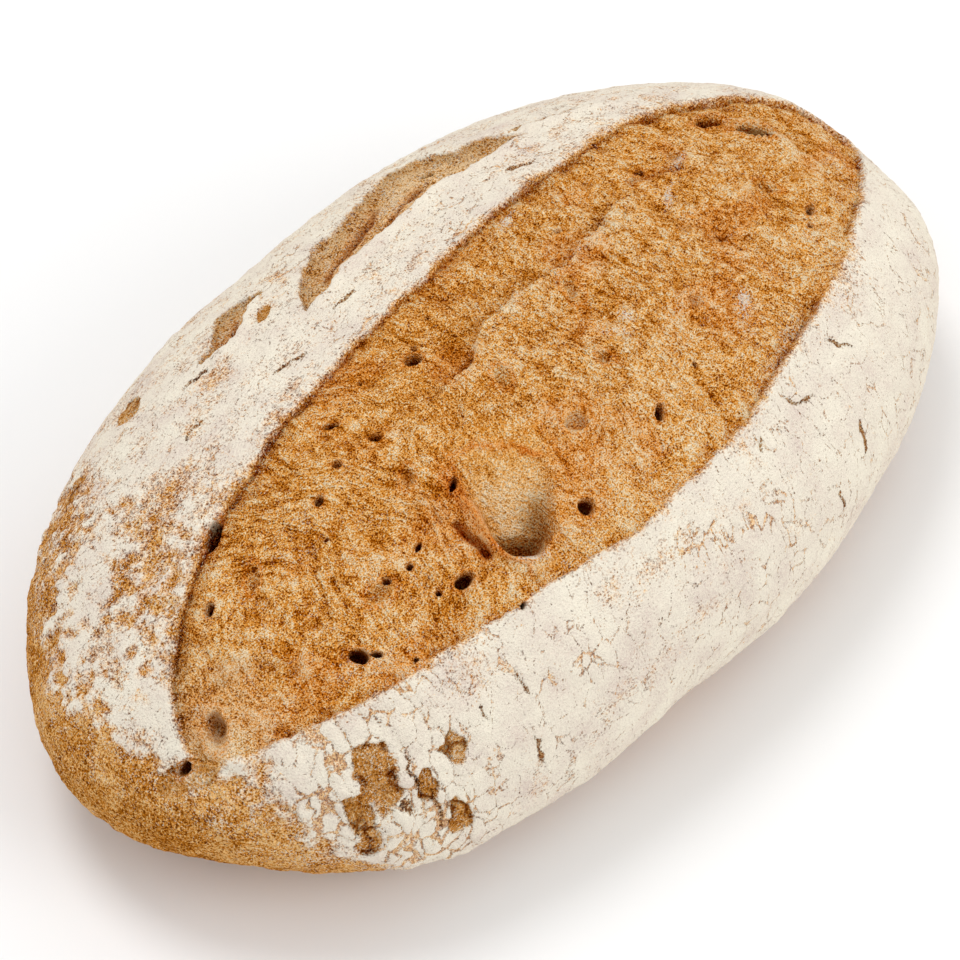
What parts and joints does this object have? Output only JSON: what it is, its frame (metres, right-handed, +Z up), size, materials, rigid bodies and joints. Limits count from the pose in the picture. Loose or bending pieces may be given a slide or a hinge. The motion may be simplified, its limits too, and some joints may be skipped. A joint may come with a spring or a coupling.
{
  "type": "sourdough loaf",
  "caption": "Oval hearth-baked sourdough loaf with a floured crust split open along one long score.",
  "frame": {"origin": "middle of the flat base, at the bottom centre of the bounding box", "axes": "+X along the loaf, +Y across it towards the flank with the small tears, +Z up"},
  "size_m": [0.3, 0.178, 0.092],
  "materials": {
    "crust": "matte"
  },
  "bodies": {
    "root": {"loaf": "crust"}
  },
  "joints": []
}
